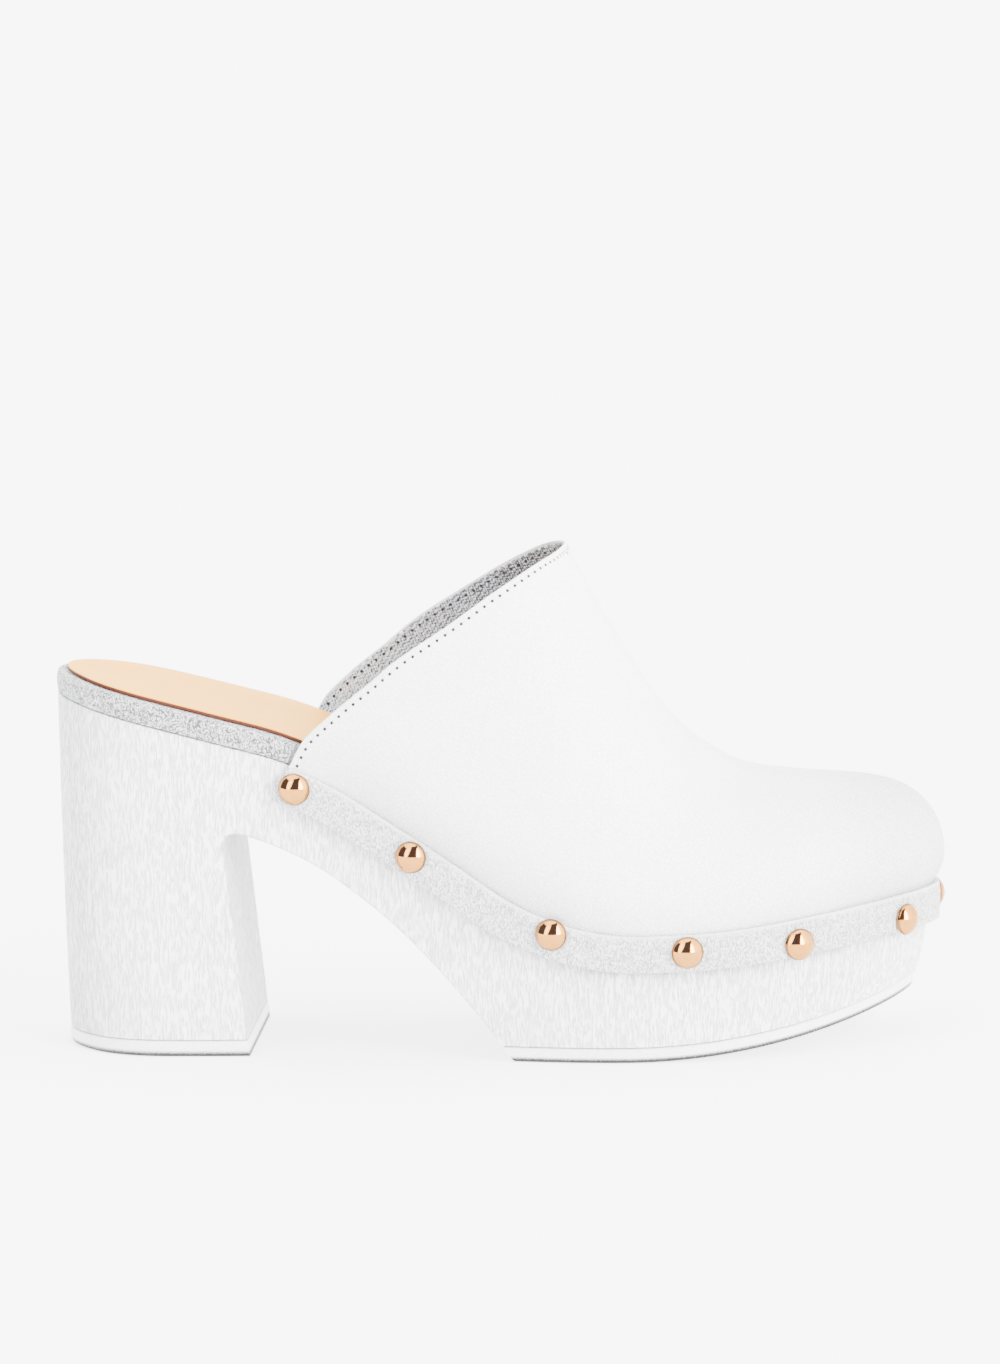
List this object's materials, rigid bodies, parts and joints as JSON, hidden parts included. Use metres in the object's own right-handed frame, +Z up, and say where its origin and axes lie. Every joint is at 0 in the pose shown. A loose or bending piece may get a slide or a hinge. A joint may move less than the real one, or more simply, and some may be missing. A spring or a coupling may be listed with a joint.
{
  "type": "studded clog",
  "caption": "Open-backed platform clog with a block heel: hollow closed-toe upper on a moulded sole, with a rand and domed studs along its edge.",
  "frame": {"origin": "bottom centre of the bounding box, on the floor between heel and forepart", "axes": "+X from heel to toe, +Y to the inner side of the foot, +Z up"},
  "size_m": [0.2354, 0.1, 0.1317],
  "materials": {
    "sole": "moulded white sole unit with fine upright grooves like wood grain",
    "tread": "white matte wearing layer",
    "rim": "light grey crinkled suede wrapped over the footbed's edge",
    "sock": "smooth tan sock leather with a soft sheen",
    "upper": "white smooth leather with very fine grain, grey textile lining",
    "rand": "white crinkled leather strip",
    "stud": "polished rose gold"
  },
  "bodies": {
    "root": {"sole_unit": "sole", "forepart_outsole": "tread", "heel_top_piece": "tread", "footbed": "rim", "insole_sock": "sock", "upper": "upper", "rand": "rand", "stud_lateral_1": "stud", "stud_lateral_2": "stud", "stud_lateral_3": "stud", "stud_lateral_4": "stud", "stud_lateral_5": "stud", "stud_lateral_6": "stud", "stud_toe": "stud", "stud_medial_6": "stud", "stud_medial_5": "stud", "stud_medial_4": "stud", "stud_medial_3": "stud", "stud_medial_2": "stud", "stud_medial_1": "stud"}
  },
  "joints": []
}
